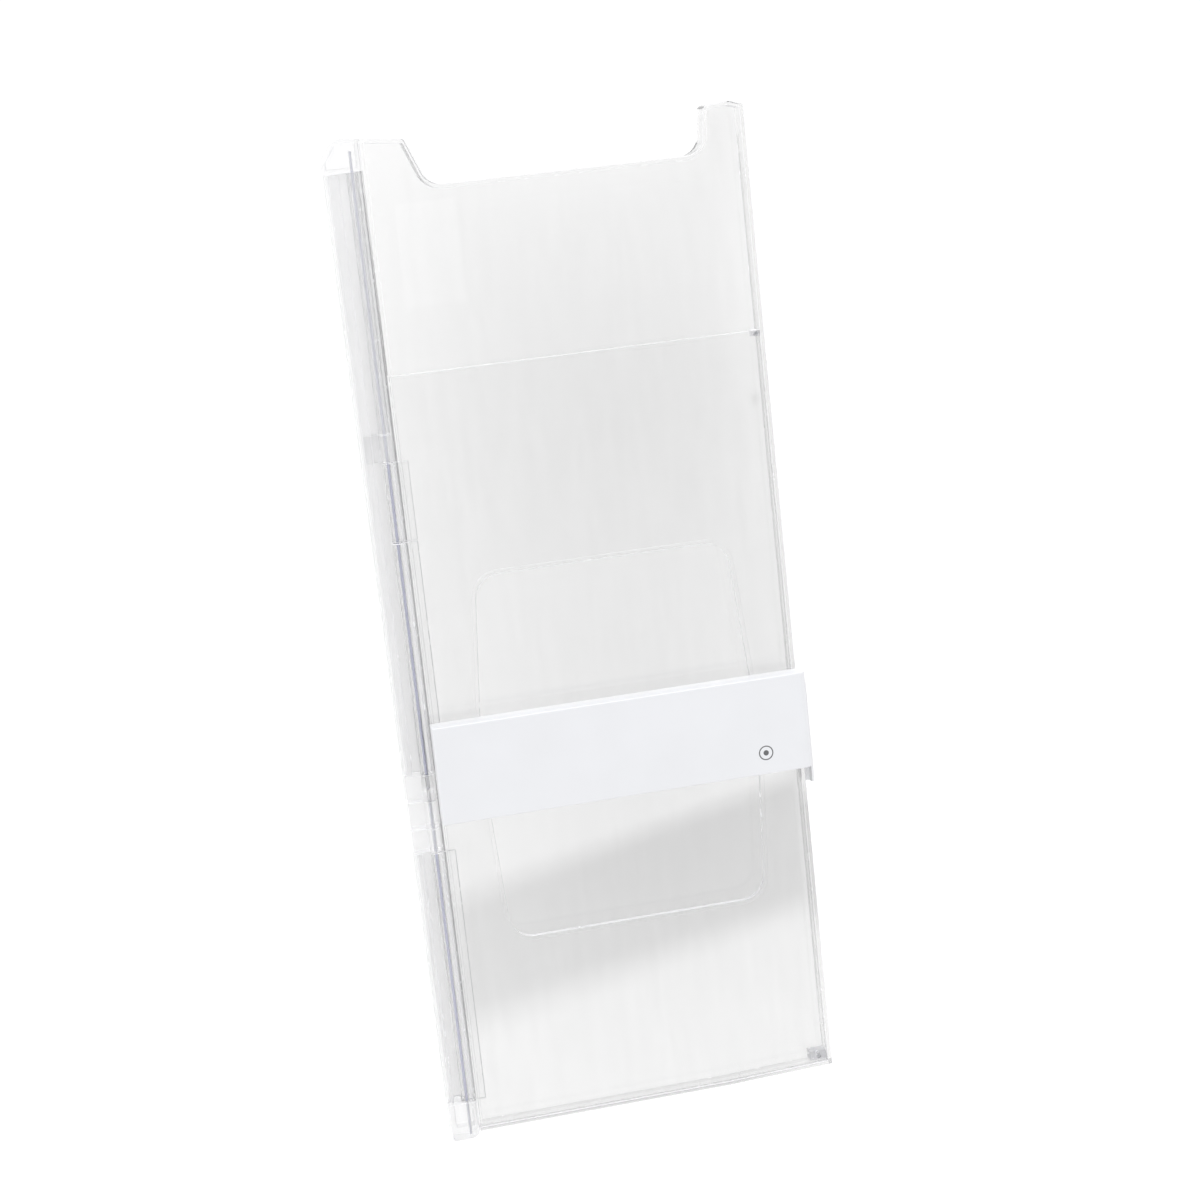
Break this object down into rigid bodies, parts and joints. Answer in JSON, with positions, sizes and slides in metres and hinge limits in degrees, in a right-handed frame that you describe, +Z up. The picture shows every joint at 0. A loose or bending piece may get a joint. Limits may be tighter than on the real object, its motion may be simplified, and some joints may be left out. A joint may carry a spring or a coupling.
{
  "type": "wall magazine rack",
  "caption": "Tall shallow clear plastic wall rack with a side-hinged front door, a window in the door and a white push bar that releases the latch.",
  "frame": {"origin": "middle of the two wall-screw holes, on the rack's back face", "axes": "+X to the right seen from the front, +Y back into the wall, +Z up; the door faces -Y"},
  "size_m": [0.2562, 0.032, 0.6193],
  "materials": {
    "clear_tray": "clear polished plastic",
    "clear_door": "clear polished plastic",
    "clear_hinge": "clear polished plastic",
    "white_bar": "satin white",
    "white_inner": "matt white",
    "grey_mark": "matt grey print",
    "steel": "brushed",
    "magnet": "nickel plated",
    "soft_pad": "soft translucent"
  },
  "bodies": {
    "tray": {"rear_tray": "clear_tray", "spine_rail_upper": "clear_hinge", "spine_rail_lower": "clear_hinge", "spine_splice": "clear_hinge", "hinge_cap_top": "clear_hinge", "hinge_cover_upper": "clear_hinge", "hinge_bracket_upper": "clear_hinge", "hinge_bracket_middle": "clear_hinge", "hinge_bracket_lower": "clear_hinge", "hinge_foot": "clear_hinge", "hinge_rod_upper": "steel", "hinge_rod_lower": "steel", "latch_keeper": "white_inner", "keeper_magnet": "magnet", "door_stop_lower": "clear_tray", "door_stop_upper": "clear_tray", "door_bumpers": "soft_pad"},
    "door": {"door_panel": "clear_door", "hinge_sleeve_upper": "clear_door", "hinge_sleeve_middle": "clear_door", "hinge_sleeve_lower": "clear_door", "bar_carrier": "white_inner", "carrier_screws": "steel", "bolt_guide": "white_inner", "bar_return_springs": "steel", "bolt_spring": "steel"},
    "push_bar": {"push_bar": "white_bar", "press_mark_ring": "grey_mark", "press_mark_dot": "grey_mark"},
    "bolt": {"latch_bolt": "steel"}
  },
  "joints": [
    {"name": "door_hinge", "type": "hinge", "parent": "tray", "child": "door", "pos_m": [-0.1215, -0.0114, 0], "axis": [0, 0, -1], "range_deg": [0, 100]},
    {"name": "push_bar_press", "type": "slide", "parent": "door", "child": "push_bar", "axis": [0, 1, 0], "range_m": [0, 0.0024], "stiffness_N_per_m": 900, "springref_m": -0.002, "deforming": ["bar_return_springs"]},
    {"name": "latch_bolt_slide", "type": "slide", "parent": "door", "child": "bolt", "axis": [-1, 0, 0], "range_m": [0, 0.0024], "stiffness_N_per_m": 200, "springref_m": -0.002, "deforming": ["bolt_spring"]}
  ],
  "couplings": [
    {"joint": "latch_bolt_slide", "follows": "push_bar_press", "ratio": 1}
  ]
}
